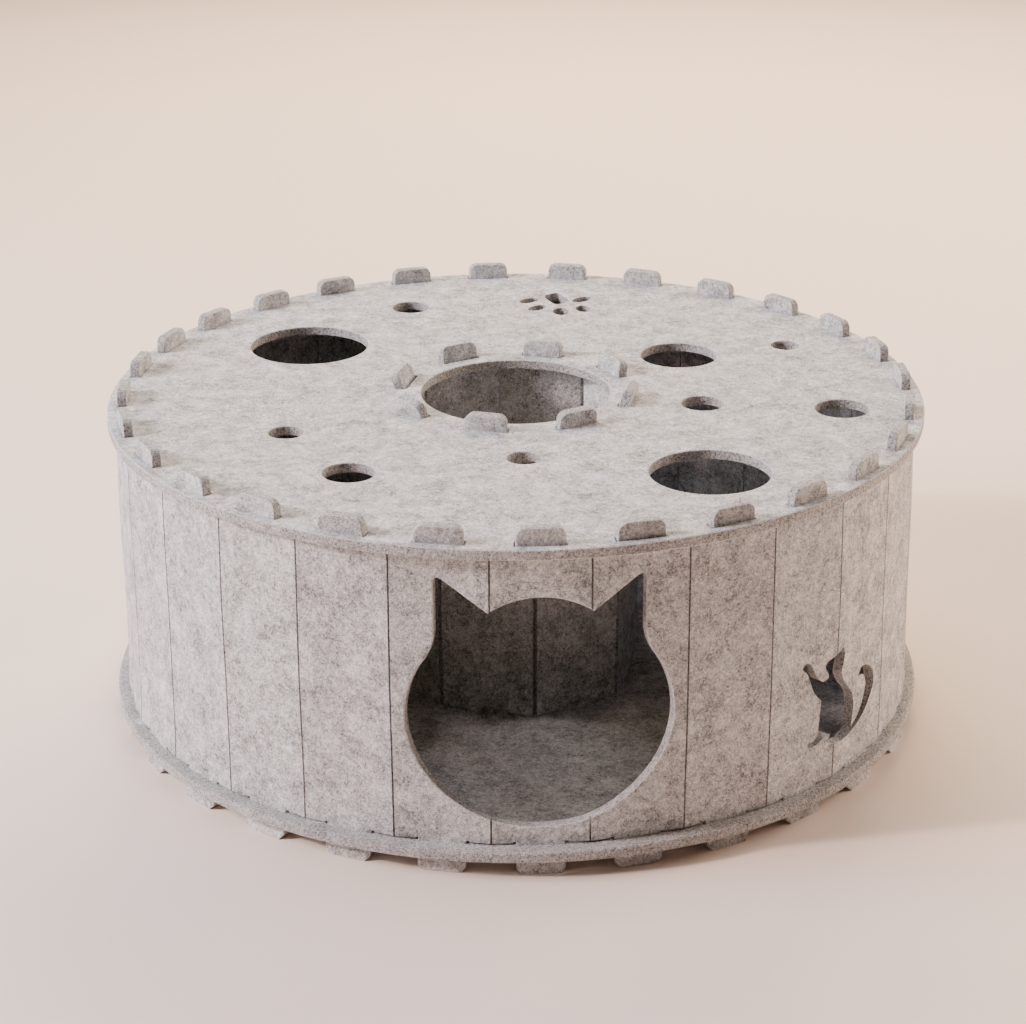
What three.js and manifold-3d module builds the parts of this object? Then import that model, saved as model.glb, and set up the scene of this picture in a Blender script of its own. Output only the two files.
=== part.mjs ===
// Round cat tunnel of thick felt: two discs joined by an outer and an inner wall, tab in slot.
// Millimetres, +Z up. The origin is on the ground under the middle of the ring, and the
// entrance faces -Y. Angles on the ring start at the entrance and grow towards +X.

import * as THREE from "three";
import { mergeVertices } from "three/addons/utils/BufferGeometryUtils.js";
import Module from "manifold-3d";

const wasm = await Module();
wasm.setup();

// Felt sheet, and the clearance that each piece keeps to the next
const FELT = 10;
const GAP = 0.3;
const SLOT_END_GAP = 1.5;

// Discs
const TOP_DISC_RADIUS = 400;
const BOTTOM_DISC_RADIUS = 406;
const CENTRE_HOLE_DIAMETER = 187;

// How finely round outlines are faceted, as points along each arc, toe and pad
const RIM_FACETS = 84;
const STEPS = { topTab: 2, lowerTab: 1, entrance: 10, kitten: 2, toe: 12, pad: 16 };
const holeFacets = (diameter) => 4 * Math.round(2 + diameter / 20);

// Heights, from the tips of the lower tabs that the tunnel stands on
const TAB_RISE = 16;
const WALL_RISE = 278;
const BOTTOM_DISC_Z = TAB_RISE;
const WALL_Z = BOTTOM_DISC_Z + FELT;
const TOP_DISC_Z = WALL_Z + WALL_RISE;
const TIP_Z = TOP_DISC_Z + FELT + TAB_RISE;

// Walls: radius is to the outer face, and turn is the angle of the first tab in degrees
const OUTER_WALL = { radius: 389, panels: 28, facets: 2, tabWidth: 43.5, turn: 0 };
const INNER_WALL = { radius: 117, panels: 8, facets: 4, tabWidth: 42, turn: -17.3 };
const TOP_TAB_ROUND = 9;
const LOWER_TAB_ROUND = 4.5;
const SCORE_WIDTH = 1.8;
const SCORE_DEPTH = 2.5;

// How far a cut runs past the felt: inside and outside a wall, and above the tips of its tabs
const CUT_INSIDE = 16;
const CUT_OUTSIDE = 30;
const CUT_ABOVE = 8;
const MERGE_WITHIN = 1e-3;

// Entrance: a cat's head, with heights above the foot of the wall
const ENTRANCE = {
  cheekHalfWidth: 118, cheekHalfHeight: 105, cheekMiddle: 126, cheekEndDegrees: 33,
  earHalfWidth: 92, earFoot: 207, earTip: 261, earTipRound: 6,
  valleyHalfWidth: 45.5, valley: 226, crown: 240,
};

// Round holes in the top disc: middle and diameter
const ROUND_HOLES = [
  { x: -207, y: 156, diameter: 122 },
  { x: 164, y: -230, diameter: 111 },
  { x: 173.5, y: 98, diameter: 78 },
  { x: 313, y: -71.5, diameter: 52.5 },
  { x: -163, y: -212, diameter: 48.5 },
  { x: 180, y: -48.5, diameter: 41.5 },
  { x: -99.5, y: 279, diameter: 39 },
  { x: -223, y: -102.5, diameter: 34 },
  { x: -2, y: -183.5, diameter: 32 },
  { x: 288, y: 124, diameter: 29 },
];

// Paw print in the top disc: toes are ovals round the pad's middle, tilt in degrees
const PAW = { x: 63, y: 298 };
const PAW_TOES = [
  { x: -32, y: -3.5, length: 24, width: 15, tilt: 30 },
  { x: -24.5, y: -30, length: 25, width: 15, tilt: 42 },
  { x: 0, y: -44.5, length: 25, width: 17, tilt: 90 },
  { x: 25, y: -37, length: 22, width: 16, tilt: 98 },
  { x: 26, y: -4, length: 25, width: 15, tilt: 40 },
];
const PAW_PAD = [[-14, 10], [-7, 19], [2, 21], [6, 9], [12, -6], [5, -16], [-4, -18], [-9, -8]];

// Kitten cut-out in the wall: x along the wall from its middle, z above the foot of the wall.
// Each stretch is a smooth line, and stretches meet at a corner.
const KITTEN_ANGLE = 47.1;
const KITTEN = [
  [[0, 128], [3, 119], [0, 109], [-2, 101], [6, 88], [18, 75], [23, 60], [21, 45], [20, 39]],
  [[20, 39], [32, 45], [41, 58], [45, 72], [42, 82], [35, 86], [28, 86]],
  [[28, 86], [35, 93], [46, 91], [57, 82], [60, 68], [52, 54], [40, 43], [25, 35], [6, 31],
    [-12, 34], [-25, 39]],
  [[-25, 39], [-20, 42], [-18, 45]],
  [[-18, 45], [-27, 44], [-36, 40], [-46, 40], [-48, 46], [-40, 46], [-35, 51], [-34, 60],
    [-32, 84]],
  [[-32, 84], [-42, 95], [-48, 108], [-53, 118], [-59, 124], [-54, 129], [-46, 124],
    [-40, 113], [-32, 104], [-24, 104], [-24, 109], [-28, 116], [-25, 121], [-14, 124], [0, 128]],
];

const radians = THREE.MathUtils.degToRad;
const pitchOf = (wall) => (2 * Math.PI) / wall.panels;
const tabAngles = (wall) =>
  Array.from({ length: wall.panels }, (_, k) => radians(wall.turn) + k * pitchOf(wall));

// A point in plan on the ring
function onRing(radius, angle) {
  return new THREE.Vector2(radius * Math.sin(angle), -radius * Math.cos(angle));
}

function circlePath(x, y, diameter) {
  const facets = holeFacets(diameter);
  return new THREE.Path(Array.from({ length: facets }, (_, k) => {
    const spoke = onRing(diameter / 2, (k * 2 * Math.PI) / facets);
    return new THREE.Vector2(x + spoke.x, y + spoke.y);
  }));
}

function extrude(shape, bottom, height, curveSegments = 1) {
  const geometry = new THREE.ExtrudeGeometry(shape, {
    depth: height, steps: 1, bevelEnabled: false, curveSegments,
  });
  return geometry.translate(0, 0, bottom);
}

// Solids for the boolean cuts
function toSolid(geometry) {
  geometry.deleteAttribute("normal");
  geometry.deleteAttribute("uv");
  const merged = mergeVertices(geometry, MERGE_WITHIN);
  return new wasm.Manifold(new wasm.Mesh({
    numProp: 3,
    vertProperties: new Float32Array(merged.attributes.position.array),
    triVerts: new Uint32Array(merged.index.array),
  }));
}

function toGeometry(solid) {
  const mesh = solid.getMesh();
  const geometry = new THREE.BufferGeometry();
  geometry.setAttribute("position", new THREE.BufferAttribute(mesh.vertProperties, 3));
  geometry.setIndex(new THREE.BufferAttribute(mesh.triVerts, 1));
  geometry.computeVertexNormals();
  return geometry;
}

// A flat shape, x along the wall and y up, bent round the ring to cut right through the wall
function bentCutter(wall, shape, angle, z, curveSegments) {
  const flat = extrude(shape, -CUT_INSIDE, CUT_INSIDE + CUT_OUTSIDE, curveSegments);
  const position = flat.attributes.position;
  for (let i = 0; i < position.count; i += 1) {
    const turned = angle + position.getX(i) / wall.radius;
    const point = onRing(wall.radius + position.getZ(i), turned);
    position.setXYZ(i, point.x, point.y, z + position.getY(i));
  }
  return toSolid(flat);
}

// Plan of a wall: a ring of flat facets with a scored groove at each panel line
function wallFacePath(wall, radius, grooveDepth) {
  const points = [];
  const pitch = pitchOf(wall);
  for (const tab of tabAngles(wall)) {
    const line = tab - pitch / 2;
    const halfScore = SCORE_WIDTH / 2 / radius;
    points.push(onRing(radius, line - halfScore), onRing(radius + grooveDepth, line));
    points.push(onRing(radius, line + halfScore));
    for (let facet = 1; facet < wall.facets; facet += 1) {
      points.push(onRing(radius, line + (facet * pitch) / wall.facets));
    }
  }
  return points;
}

// The waste between two tabs, from the wall's shoulder at 0 up past the tips
function tabWaste(wall, round) {
  const half = (pitchOf(wall) * wall.radius - wall.tabWidth) / 2;
  const tip = FELT + GAP + TAB_RISE;
  const past = tip + CUT_ABOVE;
  const shape = new THREE.Shape();
  shape.moveTo(-half, 0);
  shape.lineTo(half, 0);
  shape.absarc(half + round, tip - round, round, Math.PI, Math.PI / 2, true);
  shape.lineTo(half + round, past);
  shape.lineTo(-half - round, past);
  shape.absarc(-half - round, tip - round, round, Math.PI / 2, 0, true);
  return shape;
}

function flipped(shape, curveSegments) {
  const points = shape.getPoints(curveSegments).map((p) => new THREE.Vector2(p.x, -p.y));
  return new THREE.Shape(points.reverse());
}

function wallSolid(wall) {
  const plan = new THREE.Shape(wallFacePath(wall, wall.radius, -SCORE_DEPTH));
  plan.holes.push(new THREE.Path(wallFacePath(wall, wall.radius - FELT, SCORE_DEPTH)));
  let solid = toSolid(extrude(plan, 0, TIP_Z));
  const above = tabWaste(wall, TOP_TAB_ROUND);
  const below = flipped(tabWaste(wall, LOWER_TAB_ROUND), STEPS.lowerTab);
  for (const tab of tabAngles(wall)) {
    const line = tab + pitchOf(wall) / 2;
    solid = solid.subtract(bentCutter(wall, above, line, TOP_DISC_Z - GAP, STEPS.topTab));
    solid = solid.subtract(bentCutter(wall, below, line, WALL_Z + GAP, STEPS.lowerTab));
  }
  return solid;
}

function entranceShape() {
  const e = ENTRANCE;
  const start = radians(e.cheekEndDegrees);
  const halfCrown = e.valleyHalfWidth;
  const crownRise = e.crown - e.valley;
  const crownRadius = (halfCrown ** 2 + crownRise ** 2) / (2 * crownRise);
  const crownAngle = Math.asin(halfCrown / crownRadius);
  const earSlope = (e.earTip - e.valley) / (e.earHalfWidth - halfCrown);
  const tipX = e.earHalfWidth - e.earTipRound;
  const tipZ = e.earTip - e.earTipRound * earSlope;
  const cheekX = e.cheekHalfWidth * Math.cos(start);
  const cheekZ = e.cheekMiddle + e.cheekHalfHeight * Math.sin(start);
  const bendZ = (cheekZ + e.earFoot) / 2;
  const shape = new THREE.Shape();
  shape.moveTo(e.earHalfWidth, e.earFoot);
  shape.lineTo(e.earHalfWidth, e.earTip - e.earTipRound);
  shape.quadraticCurveTo(e.earHalfWidth, e.earTip, tipX, tipZ);
  shape.lineTo(halfCrown, e.valley);
  shape.absarc(0, e.crown - crownRadius, crownRadius,
    Math.PI / 2 - crownAngle, Math.PI / 2 + crownAngle, false);
  shape.lineTo(-tipX, tipZ);
  shape.quadraticCurveTo(-e.earHalfWidth, e.earTip, -e.earHalfWidth, e.earTip - e.earTipRound);
  shape.lineTo(-e.earHalfWidth, e.earFoot);
  shape.quadraticCurveTo(-e.earHalfWidth, bendZ, -cheekX, cheekZ);
  shape.absellipse(0, e.cheekMiddle, e.cheekHalfWidth, e.cheekHalfHeight,
    Math.PI - start, 2 * Math.PI + start, false, 0);
  shape.quadraticCurveTo(e.earHalfWidth, bendZ, e.earHalfWidth, e.earFoot);
  return shape;
}

function kittenShape() {
  const points = [];
  for (const stretch of KITTEN) {
    const line = new THREE.SplineCurve(stretch.map(([x, z]) => new THREE.Vector2(x, z)));
    points.push(...line.getPoints((stretch.length - 1) * STEPS.kitten).slice(0, -1));
  }
  return new THREE.Shape(points.reverse());
}

// Radius of a wall's flat facets at an angle from the tab's middle, where two of them meet
function facetRadius(wall, radius, angle) {
  const facet = pitchOf(wall) / wall.facets;
  const fromFacetMiddle = (Math.abs(angle) % facet) - facet / 2;
  return (radius * Math.cos(facet / 2)) / Math.cos(fromFacetMiddle);
}

// A slot that takes one tab, along the same facets as the wall
function slotPath(wall, tab) {
  const reach = (wall.tabWidth / 2 + SLOT_END_GAP) / wall.radius;
  const outside = [-reach, 0, reach].map((angle) =>
    onRing(facetRadius(wall, wall.radius + GAP, angle), tab + angle));
  const inside = [-reach, 0, reach].map((angle) =>
    onRing(facetRadius(wall, wall.radius - FELT - GAP, angle), tab + angle));
  return new THREE.Path([...outside, ...inside.reverse()]);
}

function discShape(radius) {
  const rim = Array.from({ length: RIM_FACETS }, (_, k) =>
    onRing(radius, (k * 2 * Math.PI) / RIM_FACETS));
  const shape = new THREE.Shape(rim);
  for (const wall of [OUTER_WALL, INNER_WALL]) {
    for (const tab of tabAngles(wall)) shape.holes.push(slotPath(wall, tab));
  }
  return shape;
}

function ovalPath({ x, y, length, width, tilt }) {
  const path = new THREE.Path();
  path.absellipse(PAW.x + x, PAW.y + y, length / 2, width / 2, 0, 2 * Math.PI, false, radians(tilt));
  return new THREE.Path(path.getPoints(STEPS.toe / 2).slice(0, -1));
}

function topDiscShape() {
  const shape = discShape(TOP_DISC_RADIUS);
  shape.holes.push(circlePath(0, 0, CENTRE_HOLE_DIAMETER));
  for (const { x, y, diameter } of ROUND_HOLES) shape.holes.push(circlePath(x, y, diameter));
  for (const toe of PAW_TOES) shape.holes.push(ovalPath(toe));
  const pad = PAW_PAD.map(([x, y]) => new THREE.Vector3(PAW.x + x, PAW.y + y, 0));
  const smooth = new THREE.CatmullRomCurve3(pad, true, "catmullrom", 0.5);
  const round = smooth.getPoints(STEPS.pad).slice(0, -1);
  shape.holes.push(new THREE.Path(round.map((p) => new THREE.Vector2(p.x, p.y))));
  return shape;
}

function felt(name, geometry) {
  const material = new THREE.MeshStandardMaterial({ color: 0xcbc8c5, roughness: 0.95, metalness: 0 });
  const mesh = new THREE.Mesh(geometry, material);
  mesh.name = name;
  return mesh;
}

function outerWallGeometry() {
  const entrance = bentCutter(OUTER_WALL, entranceShape(), 0, WALL_Z, STEPS.entrance);
  const kitten = bentCutter(OUTER_WALL, kittenShape(), radians(KITTEN_ANGLE), WALL_Z, 1);
  return toGeometry(wallSolid(OUTER_WALL).subtract(entrance).subtract(kitten));
}

const tunnel = new THREE.Group();
tunnel.add(felt("bottom_disc", extrude(discShape(BOTTOM_DISC_RADIUS), BOTTOM_DISC_Z, FELT)));
tunnel.add(felt("outer_wall", outerWallGeometry()));
tunnel.add(felt("inner_wall", toGeometry(wallSolid(INNER_WALL))));
tunnel.add(felt("top_disc", extrude(topDiscShape(), TOP_DISC_Z, FELT)));

export default tunnel;
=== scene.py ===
"""Looks of a round cat tunnel of thick grey felt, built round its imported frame.

Four pieces of felt, each cut flat and put together tab in slot: a bottom disc, an outer wall bent
to a ring, an inner wall bent to a smaller ring, and a top disc with its holes. Metres, +Z up. The
entrance faces -Y, and angles on the ring start there and grow towards +X.
"""

import math
import random

import bmesh
import bpy
from mathutils import Matrix, Vector, noise


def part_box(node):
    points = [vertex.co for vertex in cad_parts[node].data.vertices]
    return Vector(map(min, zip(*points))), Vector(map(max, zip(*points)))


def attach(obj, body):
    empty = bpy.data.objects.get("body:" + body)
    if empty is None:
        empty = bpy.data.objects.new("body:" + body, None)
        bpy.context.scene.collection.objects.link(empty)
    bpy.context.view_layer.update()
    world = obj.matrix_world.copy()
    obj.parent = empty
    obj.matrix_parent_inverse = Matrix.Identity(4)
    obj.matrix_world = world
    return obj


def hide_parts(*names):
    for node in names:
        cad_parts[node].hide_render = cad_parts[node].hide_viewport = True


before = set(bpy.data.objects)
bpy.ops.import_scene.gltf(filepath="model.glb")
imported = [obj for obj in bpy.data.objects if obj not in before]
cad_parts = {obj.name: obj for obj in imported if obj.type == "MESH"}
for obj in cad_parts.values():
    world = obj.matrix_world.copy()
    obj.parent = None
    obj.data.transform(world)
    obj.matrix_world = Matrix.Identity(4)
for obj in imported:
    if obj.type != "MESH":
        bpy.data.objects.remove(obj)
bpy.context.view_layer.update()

MM = 0.001

# Heights and sizes that the frame gives
FOOT_Z, TIP_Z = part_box("outer_wall")[0].z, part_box("outer_wall")[1].z
BOTTOM_DISC_Z, WALL_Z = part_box("bottom_disc")[0].z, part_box("bottom_disc")[1].z
TOP_DISC_Z, TOP_FACE_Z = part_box("top_disc")[0].z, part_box("top_disc")[1].z
BOTTOM_DISC_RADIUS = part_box("bottom_disc")[1].x + 1 * MM
TOP_DISC_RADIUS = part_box("top_disc")[1].x
FELT = TOP_FACE_Z - TOP_DISC_Z

# The bottom disc hangs lower round the inner wall than at the outer one
SAG = 11 * MM

# Walls: radius is to the outer face at a tab, turn is the angle of the first tab in degrees,
# flatness is 1 for flat panels and 0 for a true ring, and groove is the scored line's width with
# its depths outside and inside. Tabs are numbered from the front, towards +X. Those in drift sit
# that many degrees further on, and those in lean are pressed outwards by that many degrees.
# Spread holds, for the left side and then the right, how far the foot stands outside its ring and
# how fast that fades upwards. Dip is how far the foot hangs with the disc under it, and splay is
# how far the lower tabs stand outwards for each step down from the disc.
OUTER_WALL = {
    "radius": 390.5 * MM, "foot": WALL_Z, "panels": 28, "tab_width": 43.5 * MM, "turn": 0.0,
    "columns": 4, "flatness": 0.9, "groove": (1.7 * MM, 5.5 * MM, 2.4 * MM),
    "spread": ((4.5 * MM, 7), (6 * MM, 2)), "dip": 2.5 * MM, "splay": 0.5,
    "drift": {11: 0.4, 12: 0.9, 13: 1.0, 14: 1.5, -13: 1.7, -12: 2.4, -11: 2.1, -10: 2.0, -9: 1.0},
    "lean": {},
}
INNER_WALL = {
    "radius": 117 * MM, "foot": WALL_Z - SAG, "panels": 8, "tab_width": 42 * MM, "turn": -17.3,
    "columns": 8, "flatness": 0.85, "groove": (4.4 * MM, 7.0 * MM, 2.4 * MM),
    "spread": ((0, 1), (0, 1)), "dip": 0, "splay": 0,
    "drift": {},
    "lean": {0: 6, 1: 8, 2: 20, 3: 18, 4: 12, -3: 28, -2: 36, -1: 30},
}

# The dip is at the front right. The disc takes part in it from this radius outwards.
DIP_MIDDLE_DEGREES, DIP_HALF_DEGREES, DIP_STARTS_AT = 42, 34, 250 * MM

# A tab leans fully from this height above the top disc
LEAN_FULL_AFTER = 4 * MM
BELLY = 1.5 * MM

# Tabs, the notches at their roots and the slots that take them
TOP_TAB_ROUND = 8.5 * MM
LOWER_TAB_CHAMFER = 4.5 * MM
SHOULDER_GAP = 0.9 * MM
NOTCH_WIDTH, NOTCH_DEPTH = 2.8 * MM, 1.3 * MM
NOTCH_FLOOR_START, NOTCH_FLOOR_END = 0.85 * NOTCH_WIDTH, 0.1 * NOTCH_WIDTH
SLOT_GAP = 0.35 * MM
SLOT_END_GAP_ABOVE = 1.3 * MM
SLOT_END_GAP_BELOW = 0.6 * MM
SLOT_STEPS = 3

# Rounding of the cut arrises, and how far the cut between them draws in
RIM_ARRIS = 1.9 * MM
ARRIS = 1.5 * MM
FINE_ARRIS = 0.4 * MM
ARRIS_STEPS = 3
CUT_HOLLOW = 0.12 * MM
SHARPEST_MITRE = 0.45

# Slots of the three materials. A face's slot follows from how upright its normal stands.
# The arris slot's material is paler than the face: a painted highlight.
FACE_SLOT, CUT_SLOT, ARRIS_SLOT = 0, 1, 2
CUT_BELOW, ARRIS_BELOW = 0.5, 0.95
SHARP_DEGREES = 40
TOUCHING = 0.01 * MM

# Entrance: a cat's head, with heights above the foot of the wall
CHEEK_HALF_WIDTH, CHEEK_HALF_HEIGHT, CHEEK_MIDDLE = 119 * MM, 105 * MM, 123 * MM
CHEEK_END_DEGREES = 33
EAR_HALF_WIDTH, EAR_FOOT, EAR_TIP, EAR_TIP_ROUND = 92 * MM, 207 * MM, 260 * MM, 9 * MM
VALLEY_HALF_WIDTH, VALLEY, CROWN = 45.5 * MM, 226 * MM, 240 * MM

# Holes in the top disc: middle and diameter in millimetres
CENTRE_HOLE_DIAMETER = 187
ROUND_HOLES = [
    (-207, 156, 122),
    (164, -230, 111),
    (173.5, 98, 78),
    (313, -71.5, 52.5),
    (-163, -212, 48.5),
    (180, -48.5, 41.5),
    (-99.5, 279, 39),
    (-223, -102.5, 34),
    (-2, -183.5, 32),
    (288, 124, 29),
]

# Paw print: its place, its toes as x, y, length, width and tilt, and the line of its pad
PAW_X, PAW_Y = 63, 298
PAW_TOES = [
    (-32, -3.5, 24, 15, 30),
    (-24.5, -30, 25, 15, 42),
    (0, -44.5, 25, 17, 90),
    (25, -37, 22, 16, 98),
    (26, -4, 25, 15, 40),
]
PAW_PAD = [(-14, 10), (-7, 19), (2, 21), (6, 9), (12, -6), (5, -16), (-4, -18), (-9, -8)]

# Kitten: the angle of its middle in degrees, how far it is raised, and its line, with x along the
# wall from its middle and height above the foot of the wall, in millimetres. Each stretch is a
# smooth line, and stretches meet at a corner.
KITTEN_ANGLE = 46.7
KITTEN_RISE = 2 * MM
KITTEN = [
    [(0, 128), (3, 119), (0, 109), (-2, 101), (6, 88), (18, 75), (23, 60), (21, 45), (20, 39)],
    [(20, 39), (31, 46), (40, 59), (44, 72), (41, 81), (35, 85), (28, 85)],
    [(28, 85), (35, 93), (47, 91), (58, 82), (61, 68), (54, 54), (42, 42), (25, 34), (6, 30),
     (-12, 34), (-25, 39)],
    [(-25, 39), (-20, 42), (-18, 45)],
    [(-18, 45), (-27, 44), (-36, 40), (-46, 40), (-48, 46), (-40, 46), (-35, 51), (-34, 60),
     (-32, 84)],
    [(-32, 84), (-42, 95), (-48, 108), (-53, 118), (-59, 124), (-54, 129), (-46, 124),
     (-40, 113), (-32, 104), (-24, 104), (-24, 109), (-28, 116), (-25, 121), (-14, 124), (0, 128)],
]

# Unevenness of stiff felt that was cut, bent and put together by hand
CHANCE = random.Random(28)
OWN_LEAN_DEGREES = 2.2
TAB_RISE_SPREAD = 0.5 * MM
FACE_WAVE = 0.7 * MM
FACE_WAVE_LENGTH = 120 * MM
WALL_WAVES = 2
WAVES_FULL_AFTER = 4 * FELT
SEEDS = {"bottom_disc": 3, "outer_wall": 5, "inner_wall": 7, "top_disc": 9}

# How finely a disc is divided, and where the lip outside the wall starts
GRID = 22 * MM
RIM_POINTS = 336
LIP_STARTS_OUTSIDE = 2 * MM


# Camera

PHOTO_WIDTH = 1026
FOCAL_PIXELS = 2438.65
SENSOR = 36.0
CAMERA_ELEVATION = math.radians(22.415)
CAMERA_AZIMUTH = math.radians(-2.985)
CAMERA_DISTANCE = 2.4631
CAMERA_ROLL = math.radians(0.235)
CAMERA_AIM = Vector((-0.00306, 0.00016, 0.1840))


def set_camera():
    data = bpy.data.cameras.new("photo_camera")
    data.sensor_fit = "HORIZONTAL"
    data.sensor_width = SENSOR
    data.lens = FOCAL_PIXELS / PHOTO_WIDTH * SENSOR
    camera = bpy.data.objects.new("photo_camera", data)
    bpy.context.scene.collection.objects.link(camera)
    turn = Matrix.Rotation(CAMERA_AZIMUTH, 4, "Z")
    tip = Matrix.Rotation(math.pi / 2 - CAMERA_ELEVATION, 4, "X")
    roll = Matrix.Rotation(-CAMERA_ROLL, 4, "Z")
    back = Matrix.Translation((0, 0, CAMERA_DISTANCE))
    camera.matrix_world = Matrix.Translation(CAMERA_AIM) @ turn @ tip @ roll @ back
    bpy.context.scene.camera = camera


# Lines: lists of (x, y) in metres, with the felt on their left

def arc(x, y, x_radius, y_radius, start, end, steps):
    """Points on an ellipse from start to end, both in degrees and both included."""
    angles = [math.radians(start + (end - start) * k / steps) for k in range(steps + 1)]
    return [(x + x_radius * math.cos(a), y + y_radius * math.sin(a)) for a in angles]


def round_hole(x, y, diameter):
    steps = 4 * round(6 + diameter / 6)
    radius = diameter / 2 * MM
    return arc(x * MM, y * MM, radius, radius, 360, 0, steps)[:-1]


def oval_hole(x, y, length, width, tilt):
    turn = Matrix.Rotation(math.radians(tilt), 2)
    line = arc(0, 0, length / 2 * MM, width / 2 * MM, 360, 0, steps=32)[:-1]
    return [((PAW_X + x) * MM + p.x, (PAW_Y + y) * MM + p.y) for p in
            (turn @ Vector(q) for q in line)]


def smooth_line(points, steps, closed=False):
    """A line through the points, smooth at each of them."""
    line = []
    count = len(points)
    for i in range(count if closed else count - 1):
        before = points[i - 1] if closed or i > 0 else points[i]
        here, there = points[i], points[(i + 1) % count]
        after = points[(i + 2) % count] if closed or i + 2 < count else there
        for k in range(steps):
            t = k / steps
            line.append(tuple(
                (2 * b + (c - a) * t + (2 * a - 5 * b + 4 * c - d) * t**2
                 + (3 * b - a - 3 * c + d) * t**3) / 2
                for a, b, c, d in zip(before, here, there, after)))
    return line


def quadratic(start, middle, end, steps):
    """Points on a curve that leaves start towards middle and reaches end, without its end."""
    ts = [k / steps for k in range(steps)]
    return [tuple((1 - t) ** 2 * a + 2 * t * (1 - t) * b + t * t * c
                  for a, b, c in zip(start, middle, end)) for t in ts]


def entrance_line():
    """The cat's head, clockwise, with z above the wall's foot as y."""
    slope = (EAR_TIP - VALLEY) / (EAR_HALF_WIDTH - VALLEY_HALF_WIDTH)
    tip_x, tip_y = EAR_HALF_WIDTH - EAR_TIP_ROUND, EAR_TIP - EAR_TIP_ROUND * slope
    side_y = EAR_TIP - EAR_TIP_ROUND
    rise = CROWN - VALLEY
    crown_radius = (VALLEY_HALF_WIDTH**2 + rise**2) / (2 * rise)
    half_arc = math.degrees(math.asin(VALLEY_HALF_WIDTH / crown_radius))
    cheek = math.radians(CHEEK_END_DEGREES)
    cheek_x = CHEEK_HALF_WIDTH * math.cos(cheek)
    cheek_y = CHEEK_MIDDLE + CHEEK_HALF_HEIGHT * math.sin(cheek)
    bend = (EAR_HALF_WIDTH, (cheek_y + EAR_FOOT) / 2)
    line = quadratic((cheek_x, cheek_y), bend, (EAR_HALF_WIDTH, EAR_FOOT), steps=10)
    line += quadratic((EAR_HALF_WIDTH, side_y), (EAR_HALF_WIDTH, EAR_TIP), (tip_x, tip_y), steps=6)
    line.append((tip_x, tip_y))
    crown = arc(0, CROWN - crown_radius, crown_radius, crown_radius, 90 - half_arc, 90, steps=8)
    right = line + crown
    left = [(-x, y) for x, y in reversed(right[:-1])]
    cheeks = arc(0, CHEEK_MIDDLE, CHEEK_HALF_WIDTH, CHEEK_HALF_HEIGHT,
                 180 - CHEEK_END_DEGREES, 360 + CHEEK_END_DEGREES, steps=96)[1:-1]
    return list(reversed(right + left + cheeks))


def kitten_line():
    line = []
    for stretch in KITTEN:
        line += smooth_line(stretch, steps=5)
    return [(x * MM, y * MM) for x, y in reversed(line)]


def pitch_of(wall):
    return 2 * math.pi / wall["panels"]


def tab_numbers(wall):
    """The tabs from the wall's seam at the back, round the front and to the seam again."""
    half = wall["panels"] // 2
    return range(1 - half, half + 1)


def tab_side(reach, corner, round_it):
    """One side of a tab, from its root at 0 to its tip, as (inward, outward) steps."""
    if round_it:
        return [(corner - x, y) for x, y in
                arc(0, reach - corner, corner, corner, 0, 90, steps=5)]
    return [(0, reach - corner), (corner, reach)]


def tab_line(middle, half_width, shoulder, way, reach, corner, round_it):
    """A tab and the relief notches at its root, from left to right; way is 1 up and -1 down."""
    side = tab_side(reach, corner, round_it)
    notch = [(-NOTCH_WIDTH, 0), (-NOTCH_FLOOR_START, -NOTCH_DEPTH),
             (-NOTCH_FLOOR_END, -NOTCH_DEPTH)]
    left = [(-half_width + x, y) for x, y in notch + side]
    right = [(-x, y) for x, y in reversed(left)]
    return [(middle + x, shoulder + way * y) for x, y in left + right]


def wall_line(wall):
    """A wall's strip laid flat: x along its outer face from the middle of the front."""
    width = pitch_of(wall) * wall["radius"]
    half_width = wall["tab_width"] / 2
    low, high = wall["foot"] + SHOULDER_GAP, TOP_DISC_Z - SHOULDER_GAP
    numbers = tab_numbers(wall)
    below, above = [], []
    for number in numbers:
        middle = number * width + math.radians(wall["drift"].get(number, 0)) * wall["radius"]
        reach = low - FOOT_Z
        below += tab_line(middle, half_width, low, -1, reach, LOWER_TAB_CHAMFER, False)
        reach = TIP_Z - high - TAB_RISE_SPREAD * CHANCE.random()
        above += tab_line(middle, half_width, high, 1, reach, TOP_TAB_ROUND, True)
    start, end = (numbers[0] - 0.5) * width, (numbers[-1] + 0.5) * width
    return [(start, low), *below, (end, low), (end, high), *reversed(above), (start, high)]


# The ring

def panel_radius(wall, radius, angle):
    """Radius at an angle, because a scored wall bends more at its lines than between them."""
    pitch = pitch_of(wall)
    from_middle = (angle - math.radians(wall["turn"]) + pitch / 2) % pitch - pitch / 2
    return radius * (1 + wall["flatness"] * (1 / math.cos(from_middle) - 1))


def on_ring(wall, radius, angle):
    reach = panel_radius(wall, radius, angle)
    return (reach * math.sin(angle), -reach * math.cos(angle))


def spread_at(wall, angle, share):
    """How far a wall stands outside its ring, at a share of its height."""
    side = 1 if math.sin(angle) > 0 else 0
    reach, fades = wall["spread"][side]
    return reach * math.sin(angle) ** 2 * (1 - share) ** fades


def dip_at(wall, angle):
    """How far a wall's foot hangs below its height."""
    share = (math.degrees(angle) - DIP_MIDDLE_DEGREES) / DIP_HALF_DEGREES
    return wall["dip"] * math.cos(math.pi / 2 * share) ** 2 if abs(share) < 1 else 0


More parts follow.
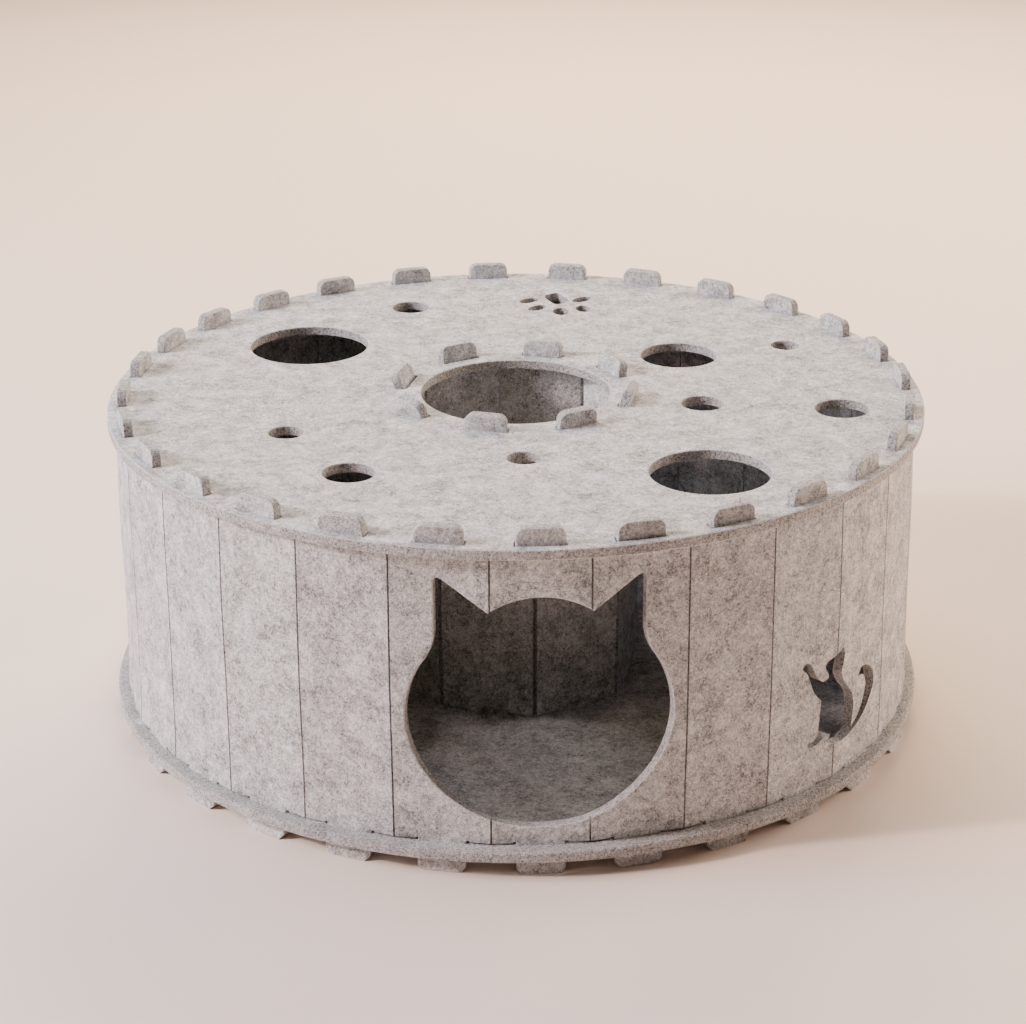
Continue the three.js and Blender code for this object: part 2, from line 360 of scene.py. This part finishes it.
def slot_line(wall, number, at_foot):
    """A slot for one tab, clockwise."""
    end_gap = SLOT_END_GAP_BELOW if at_foot else SLOT_END_GAP_ABOVE
    middle = math.radians(wall["turn"] + wall["drift"].get(number, 0)) + number * pitch_of(wall)
    reach = (wall["tab_width"] / 2 + end_gap) / wall["radius"]
    angles = [middle + reach * (k / SLOT_STEPS - 1) for k in range(2 * SLOT_STEPS + 1)]
    radii = [wall["radius"] + spread_at(wall, a, 0 if at_foot else 1) for a in angles]
    outside = [on_ring(wall, r + SLOT_GAP, a) for r, a in zip(radii, angles)]
    inside = [on_ring(wall, r - FELT - SLOT_GAP, a) for r, a in zip(radii, angles)]
    return inside + outside[::-1]


# Making felt: a flat line becomes a slab with rounded arrises, then it is bent or waved

def offset(line, distance):
    """The line moved to its left, into the felt."""
    moved = []
    for before, here, after in zip(line[-1:] + line[:-1], line, line[1:] + line[:1]):
        came = (Vector(here) - Vector(before)).normalized()
        goes = (Vector(after) - Vector(here)).normalized()
        left = Vector((-came.y - goes.y, came.x + goes.x)).normalized()
        reach = distance / max(SHARPEST_MITRE, left.dot(Vector((-came.y, came.x))))
        moved.append((here[0] + left.x * reach, here[1] + left.y * reach))
    return moved


def arris_steps(arris):
    """How far a rounded arris lies inside the cut and below the face, from the face down."""
    turns = [math.radians(90 * k / ARRIS_STEPS) for k in range(ARRIS_STEPS + 1)]
    return [(arris * (1 - math.sin(a)), arris * (1 - math.cos(a))) for a in turns]


def closed_ring(mesh, line, z):
    corners = [mesh.verts.new((x, y, z)) for x, y in line]
    return [mesh.edges.new(pair) for pair in zip(corners, corners[1:] + corners[:1])]


def felt_slab(cuts):
    """A closed slab, FELT thick and centred on z 0. Each cut is a closed line and its arris."""
    mesh = bmesh.new()
    faces_below, faces_above = [], []
    for line, arris in cuts:
        steps = [(inset, -FELT / 2 + drop) for inset, drop in arris_steps(arris)]
        steps += [(CUT_HOLLOW, 0)]
        steps += [(inset, FELT / 2 - drop) for inset, drop in reversed(arris_steps(arris))]
        ring = closed_ring(mesh, offset(line, steps[0][0]), steps[0][1])
        faces_below += ring
        for inset, z in steps[1:]:
            out = bmesh.ops.extrude_edge_only(mesh, edges=ring)["geom"]
            ring = [e for e in out if isinstance(e, bmesh.types.BMEdge) and e.is_boundary]
            corners = [v for v in out if isinstance(v, bmesh.types.BMVert)]
            for corner, (x, y) in zip(corners, offset(line, inset)):
                corner.co = (x, y, z)
        faces_above += ring
    for rings in (faces_below, faces_above):
        bmesh.ops.triangle_fill(mesh, use_beauty=True, use_dissolve=False, edges=rings)
    bmesh.ops.recalc_face_normals(mesh, faces=mesh.faces)
    return mesh


def cut_at(mesh, axis, places, faces=None):
    """Adds an edge right across the slab at each place along an axis, by halves: each cut parts
    the faces in two, and the places on either side only meet the faces there."""
    if not places:
        return
    place = places[len(places) // 2]
    normal = Vector((0, 0, 0))
    normal[axis] = 1
    faces = mesh.faces[:] if faces is None else faces
    touched = dict.fromkeys(part for face in faces for part in (*face.verts, *face.edges))
    made = bmesh.ops.bisect_plane(mesh, geom=[*touched, *faces], dist=1e-6,
                                  plane_co=normal * place, plane_no=normal)
    faces = [part for part in made["geom"] if isinstance(part, bmesh.types.BMFace)]
    middles = [(face, face.calc_center_median()[axis]) for face in faces]
    cut_at(mesh, axis, places[:len(places) // 2], [f for f, at in middles if at < place])
    cut_at(mesh, axis, places[len(places) // 2 + 1:], [f for f, at in middles if at >= place])


def mark_cut_faces(mesh):
    """Parts the pressed faces, the cut edges and the arrises between them, with their painted
    highlight.
    """
    for face in mesh.faces:
        upright = abs(face.normal.z)
        face.material_index = FACE_SLOT
        if upright < CUT_BELOW:
            face.material_index = CUT_SLOT
        elif upright < ARRIS_BELOW:
            face.material_index = ARRIS_SLOT
        face.smooth = True


def waves(x, y, seed):
    """Height of the felt's own unevenness at a place on its face."""
    return FACE_WAVE * noise.noise(Vector((x, y, 0)) / FACE_WAVE_LENGTH + Vector((0, 0, seed)))


def even_places(low, high, step):
    count = max(1, round((high - low) / step))
    return [low + (high - low) * k / count for k in range(1, count)]


def sag_at(x, y):
    """How low the bottom disc hangs at a place: by SAG round the inner wall."""
    reach = math.hypot(x, y)
    inner, outer = INNER_WALL["radius"] + FELT, OUTER_WALL["radius"] - 2 * FELT
    share = min(1, max(0, (outer - reach) / (outer - inner)))
    near_rim = min(1, max(0, (reach - DIP_STARTS_AT) / (outer - DIP_STARTS_AT)))
    return SAG * share * share * (3 - 2 * share) + dip_at(OUTER_WALL, math.atan2(x, -y)) * near_rim


def disc_mesh(radius, height, cuts, seed, at_foot):
    """A disc with its slots. The one at the foot sags, and its lip is as coarse as its rim."""
    rim = arc(0, 0, radius, radius, 0, 360, steps=RIM_POINTS)[:-1]
    cuts = [(rim, RIM_ARRIS)] + cuts
    cuts += [(slot_line(wall, k, at_foot), FINE_ARRIS)
             for wall in (OUTER_WALL, INNER_WALL) for k in tab_numbers(wall)]
    mesh = felt_slab(cuts)
    mark_cut_faces(mesh)
    for axis in (0, 1):
        cut_at(mesh, axis, even_places(-radius, radius, GRID))
    inner, outer = INNER_WALL["radius"], OUTER_WALL["radius"]
    for vert in mesh.verts:
        x, y, z = vert.co
        reach = math.hypot(x, y)
        between = min(abs(reach - inner + FELT / 2), abs(reach - outer + FELT / 2))
        free = min(1, max(0, between - FELT) / WAVES_FULL_AFTER)
        drop = sag_at(x, y) if at_foot else 0
        vert.co.z = height + FELT / 2 + z + free * waves(x, y, seed) - drop
    if at_foot:
        for face in mesh.faces:
            x, y, z = face.calc_center_median()
            if math.hypot(x, y) > outer + LIP_STARTS_OUTSIDE:
                face.material_index = CUT_SLOT
    return mesh


def score_lines(wall):
    """The lines between two panels, along the flat strip."""
    width = pitch_of(wall) * wall["radius"]
    return [(k + 0.5) * width for k in tab_numbers(wall)][:-1]


def score(mesh, wall):
    """A V groove with cut sides on both faces, at each line between two panels."""
    width = pitch_of(wall) * wall["radius"]
    outside, inside = (FELT / 2 - depth for depth in wall["groove"][1:])
    lines = score_lines(wall)
    for vert in mesh.verts:
        nearest = (math.floor(vert.co.x / width) + 0.5) * width
        scored = lines[0] - width / 2 < nearest < lines[-1] + width / 2
        if scored and abs(nearest - vert.co.x) < TOUCHING:
            vert.co.z = max(-inside, min(outside, vert.co.z))
            # Faces along the groove take the cut edge's darker colour: cut felt, and painted shade in
            # the crease as well.
            for face in vert.link_faces:
                face.material_index = CUT_SLOT


def bend(mesh, wall, seed):
    """Bends the flat strip to its ring, z of the slab towards the outside, and leans its tabs."""
    rise = TOP_DISC_Z - wall["foot"]
    leans = {k: math.radians(wall["lean"].get(k, 0) + OWN_LEAN_DEGREES * CHANCE.uniform(-1, 1))
             for k in tab_numbers(wall)}
    width = pitch_of(wall) * wall["radius"]
    for vert in mesh.verts:
        x, y, z = vert.co
        angle = math.radians(wall["turn"]) + x / wall["radius"]
        share = min(1, max(0, (y - wall["foot"]) / rise))
        out = math.sin(math.pi * share) * (WALL_WAVES * waves(x, y, seed) + BELLY)
        out += spread_at(wall, angle, share)
        out += wall["splay"] * max(0, BOTTOM_DISC_Z - y)
        over = max(0, y - TOP_FACE_Z)
        lean = leans.get(round(x / width), 0) * min(1, over / LEAN_FULL_AFTER)
        out += z * math.cos(lean) + over * math.sin(lean)
        height = y - over * (1 - math.cos(lean)) - z * math.sin(lean)
        height -= dip_at(wall, angle) * (1 - share) * min(1, y / wall["foot"])
        across, along = on_ring(wall, wall["radius"] - FELT / 2 + out, angle)
        vert.co = (across, along, height)


def wall_mesh(wall, openings, seed):
    mesh = felt_slab([(wall_line(wall), ARRIS)] + openings)
    mark_cut_faces(mesh)
    width = pitch_of(wall) * wall["radius"]
    columns = [(k - 0.5 + part / wall["columns"]) * width
               for k in tab_numbers(wall) for part in range(1, wall["columns"])]
    half_groove = wall["groove"][0] / 2
    grooves = [x + side * half_groove for x in score_lines(wall) for side in (-1, 0, 1)]
    cut_at(mesh, 0, sorted(columns + grooves))
    cut_at(mesh, 1, even_places(wall["foot"], TOP_DISC_Z, GRID))
    score(mesh, wall)
    bend(mesh, wall, seed)
    return mesh


# Shader maths

class Wire:
    """A socket, so that shader maths reads as a plain expression."""

    def __init__(self, shader, socket):
        self.shader, self.socket = shader, socket

    def maths(self, operation, first, second):
        return self.shader.add("ShaderNodeMath", {"operation": operation}, {0: first, 1: second})

    def __add__(self, other):
        return self.maths("ADD", self, other)

    __radd__ = __add__

    def __sub__(self, other):
        return self.maths("SUBTRACT", self, other)

    def __rsub__(self, other):
        return self.maths("SUBTRACT", other, self)

    def __mul__(self, other):
        return self.maths("MULTIPLY", self, other)

    __rmul__ = __mul__

    def between(self, low, high):
        """0 at low and 1 at high, smoothly and no further."""
        settings = {"interpolation_type": "SMOOTHSTEP"}
        return self.shader.add("ShaderNodeMapRange", settings,
                               {"Value": self, "From Min": low, "From Max": high}, "Result")


class Shader:
    """A material under construction."""

    def __init__(self, name):
        self.material = bpy.data.materials.new(name)
        self.material.use_nodes = True
        self.nodes = self.material.node_tree.nodes
        self.links = self.material.node_tree.links
        self.surface = self.nodes["Principled BSDF"]

    def connect(self, socket, value):
        if isinstance(value, Wire):
            self.links.new(value.socket, socket)
        else:
            socket.default_value = value

    def add(self, kind, settings, inputs, output=0):
        made = self.nodes.new(kind)
        for key, value in settings.items():
            setattr(made, key, value)
        for key, value in inputs.items():
            self.connect(made.inputs[key], value)
        return Wire(self, made.outputs[output])

    def place(self):
        return self.add("ShaderNodeTexCoord", {}, {}, "Object")

    def noise(self, place, size, detail=2.0, roughness=0.5, distortion=0.0):
        """Noise from 0 to 1 whose features are about size across, in metres."""
        return self.add("ShaderNodeTexNoise", {}, {
            "Vector": place, "Scale": 1 / size, "Detail": detail, "Roughness": roughness,
            "Distortion": distortion})

    def mix(self, factor, first, second):
        """A colour between two others; sockets 6 and 7 are the Mix node's colours."""
        return self.add("ShaderNodeMix", {"data_type": "RGBA"},
                        {0: factor, 6: (*first, 1), 7: (*second, 1)}, 2)

    def finish(self, colour, roughness, relief, depth, sheen):
        self.connect(self.surface.inputs["Base Color"], colour)
        self.connect(self.surface.inputs["Roughness"], roughness)
        self.surface.inputs["Specular IOR Level"].default_value = 0.25
        self.surface.inputs["Sheen Weight"].default_value = sheen
        self.surface.inputs["Sheen Roughness"].default_value = 0.6
        bump = self.add("ShaderNodeBump", {}, {"Height": relief, "Distance": depth, "Strength": 1.0})
        self.connect(self.surface.inputs["Normal"], bump)
        return self.material


def abs_of(wire):
    return wire.shader.add("ShaderNodeMath", {"operation": "ABSOLUTE"}, {0: wire})


def pressed_face():
    """The felt's pressed face: heather grey, soft blotches, fine grain and stray dark fibres."""
    shader = Shader("felt_pressed_face")
    place = shader.place()
    cloud = shader.noise(place, 24 * MM, 2.0, 0.5, 0.4) - 0.5
    blotch = shader.noise(place, 6 * MM, 2.0, 0.6, 0.6) - 0.5
    grain = shader.noise(place, 2.2 * MM, 1.0, 0.6, 0.3) - 0.5
    fluff = shader.noise(place, 0.9 * MM, 1.0, 0.7) - 0.5
    tangle = shader.noise(place, 12 * MM, 3.0, 0.6, 1.8)
    fibre = 1 - abs_of(tangle - 0.5).between(0.0, 0.012)
    fleck = shader.noise(place, 3.4 * MM, 1.0, 0.5).between(0.66, 0.8)
    tone = 0.5 + 0.8 * cloud + 1.0 * blotch + 0.95 * grain + 1.4 * fluff
    tone = tone - 0.12 * fibre - 0.3 * fleck
    colour = shader.mix(tone, (0.13, 0.127, 0.127), (0.87, 0.852, 0.848))
    relief = grain + 0.6 * fluff + 0.5 * blotch
    return shader.finish(colour, 0.93, relief, 0.45 * MM, 0.1)


def cut_edge():
    """The felt's cut edge: open, coarse and darker, with pale fibre ends."""
    shader = Shader("felt_cut_edge")
    place = shader.place()
    cloud = shader.noise(place, 20 * MM, 2.0, 0.5) - 0.5
    crumb = shader.noise(place, 2.4 * MM, 2.0, 0.6, 0.3) - 0.5
    grain = shader.noise(place, 1.0 * MM, 1.0, 0.7) - 0.5
    tone = 0.5 + 0.4 * cloud + 1.5 * crumb + 1.7 * grain
    colour = shader.mix(tone, (0.10, 0.092, 0.088), (0.74, 0.715, 0.70))
    return shader.finish(colour, 0.96, crumb + 0.7 * grain, 1.2 * MM, 0.1)


def arris_painted_highlight():
    """The arris: the felt's grain in paler tones than its face, a painted highlight along the rounded
    edge.
    """
    shader = Shader("felt_arris_painted_highlight")
    place = shader.place()
    crumb = shader.noise(place, 2.4 * MM, 2.0, 0.6, 0.3) - 0.5
    grain = shader.noise(place, 1.0 * MM, 1.0, 0.7) - 0.5
    tone = 0.5 + 1.2 * crumb + 1.3 * grain
    # Painted highlight: these tones are paler than the pressed face's
    colour = shader.mix(tone, (0.26, 0.25, 0.245), (0.92, 0.905, 0.895))
    return shader.finish(colour, 0.95, crumb + 0.7 * grain, 0.8 * MM, 0.2)


# Pieces

def felt_piece(name, mesh, materials):
    """One piece of felt that stands for its CAD node, on the root body."""
    bmesh.ops.remove_doubles(mesh, verts=mesh.verts, dist=TOUCHING)
    for edge in mesh.edges:
        edge.smooth = edge.calc_face_angle(0) < math.radians(SHARP_DEGREES)
    data = bpy.data.meshes.new(name + "_felt")
    mesh.to_mesh(data)
    mesh.free()
    for material in materials:
        data.materials.append(material)
    piece = bpy.data.objects.new(name + "_felt", data)
    bpy.context.scene.collection.objects.link(piece)
    weighted = piece.modifiers.new("even_faces", "WEIGHTED_NORMAL")
    weighted.keep_sharp = True
    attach(piece, "root")
    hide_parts(name)
    return piece


def shifted(line, along, up):
    return [(x + along, y + up) for x, y in line]


def build_tunnel():
    materials = [pressed_face(), cut_edge(), arris_painted_highlight()]
    pad_line = smooth_line(PAW_PAD, steps=6, closed=True)
    pad = [((PAW_X + x) * MM, (PAW_Y + y) * MM) for x, y in pad_line]
    round_holes = [(0, 0, CENTRE_HOLE_DIAMETER)] + ROUND_HOLES
    holes = [(round_hole(*hole), ARRIS) for hole in round_holes]
    holes += [(line, FINE_ARRIS) for line in [pad] + [oval_hole(*toe) for toe in PAW_TOES]]
    entrance = shifted(entrance_line(), 0, WALL_Z)
    along = math.radians(KITTEN_ANGLE) * OUTER_WALL["radius"]
    kitten = shifted(kitten_line(), along, WALL_Z + KITTEN_RISE)
    openings = [(entrance, ARRIS), (kitten, FINE_ARRIS)]
    bottom = disc_mesh(BOTTOM_DISC_RADIUS, BOTTOM_DISC_Z, [], SEEDS["bottom_disc"], True)
    bottom = felt_piece("bottom_disc", bottom, materials)
    outer = wall_mesh(OUTER_WALL, openings, SEEDS["outer_wall"])
    outer = felt_piece("outer_wall", outer, materials)
    inner = wall_mesh(INNER_WALL, [], SEEDS["inner_wall"])
    inner = felt_piece("inner_wall", inner, materials)
    top = disc_mesh(TOP_DISC_RADIUS, TOP_DISC_Z, holes, SEEDS["top_disc"], False)
    top = felt_piece("top_disc", top, materials)


# Room and light

FLOOR_RADIUS = 4.6
SUN_HEADING, SUN_HEIGHT = math.radians(7.5), math.radians(30)


def plain_floor():
    mesh = bmesh.new()
    bmesh.ops.create_circle(mesh, cap_ends=True, segments=96, radius=FLOOR_RADIUS)
    data = bpy.data.meshes.new("floor")
    mesh.to_mesh(data)
    mesh.free()
    floor = bpy.data.objects.new("floor", data)
    bpy.context.scene.collection.objects.link(floor)
    shader = Shader("pale_floor")
    colour = shader.mix(shader.noise(shader.place(), 0.9, 1.0), (0.95, 0.80, 0.69), (0.97, 0.82, 0.71))
    shader.connect(shader.surface.inputs["Base Color"], colour)
    shader.surface.inputs["Roughness"].default_value = 0.9
    shader.surface.inputs["Specular IOR Level"].default_value = 0.1
    data.materials.append(shader.material)


def add_light(name, kind, energy, colour, place, aim, **sizes):
    data = bpy.data.lights.new(name, kind)
    data.energy = energy
    data.color = colour
    for key, value in sizes.items():
        setattr(data, key, value)
    light = bpy.data.objects.new(name, data)
    bpy.context.scene.collection.objects.link(light)
    light.location = place
    light.rotation_euler = (Vector(aim) - Vector(place)).to_track_quat("-Z", "Y").to_euler()


def set_world(scene):
    """A faint warm fill, with a pale backdrop where the floor ends."""
    world = bpy.data.worlds.new("studio")
    world.use_nodes = True
    links, nodes = world.node_tree.links, world.node_tree.nodes
    fill = nodes["Background"]
    fill.inputs["Color"].default_value = (1.0, 0.93, 0.88, 1)
    fill.inputs["Strength"].default_value = 0.02
    backdrop = nodes.new("ShaderNodeBackground")
    backdrop.inputs["Color"].default_value = (1.0, 0.87, 0.78, 1)
    backdrop.inputs["Strength"].default_value = 1.0
    choice = nodes.new("ShaderNodeMixShader")
    links.new(nodes.new("ShaderNodeLightPath").outputs["Is Camera Ray"], choice.inputs[0])
    links.new(fill.outputs[0], choice.inputs[1])
    links.new(backdrop.outputs[0], choice.inputs[2])
    links.new(choice.outputs[0], nodes["World Output"].inputs["Surface"])
    scene.world = world


def light_scene():
    """A low sun from the left, a screen on each side and behind, and a lamp into the entrance."""
    set_world(bpy.context.scene)
    towards = Vector((-math.cos(SUN_HEADING) * math.cos(SUN_HEIGHT),
                      -math.sin(SUN_HEADING) * math.cos(SUN_HEIGHT), math.sin(SUN_HEIGHT)))
    middle = (0, 0, 0.2)
    add_light("window", "SUN", 2.3, (1.0, 0.75, 0.70), towards * 5, (0, 0, 0), angle=math.radians(3.5))
    add_light("left_screen", "AREA", 180, (0.95, 0.93, 1.0), (-3.2, -0.3, 1.8), middle, size=1.6)
    add_light("overhead", "AREA", 40, (0.7, 0.8, 1.0), (-0.5, 0.5, 3.2), middle, size=1.6)
    add_light("right_screen", "AREA", 150, (1.0, 0.79, 0.66), (3.0, 0.9, 1.2), middle, size=2.2)
    add_light("back_screen", "AREA", 215, (1.0, 0.765, 0.47), (0.5, 3.2, 2.4), middle, size=2.5)
    add_light("through_entrance", "SPOT", 42, (1.0, 0.9, 0.85), (-0.1, -1.6, 1.4),
              (0.0, -0.30, 0.06), spot_size=math.radians(7.5), spot_blend=0.6, shadow_soft_size=0.04)


set_camera()
build_tunnel()
plain_floor()
light_scene()

bpy.context.view_layer.update()
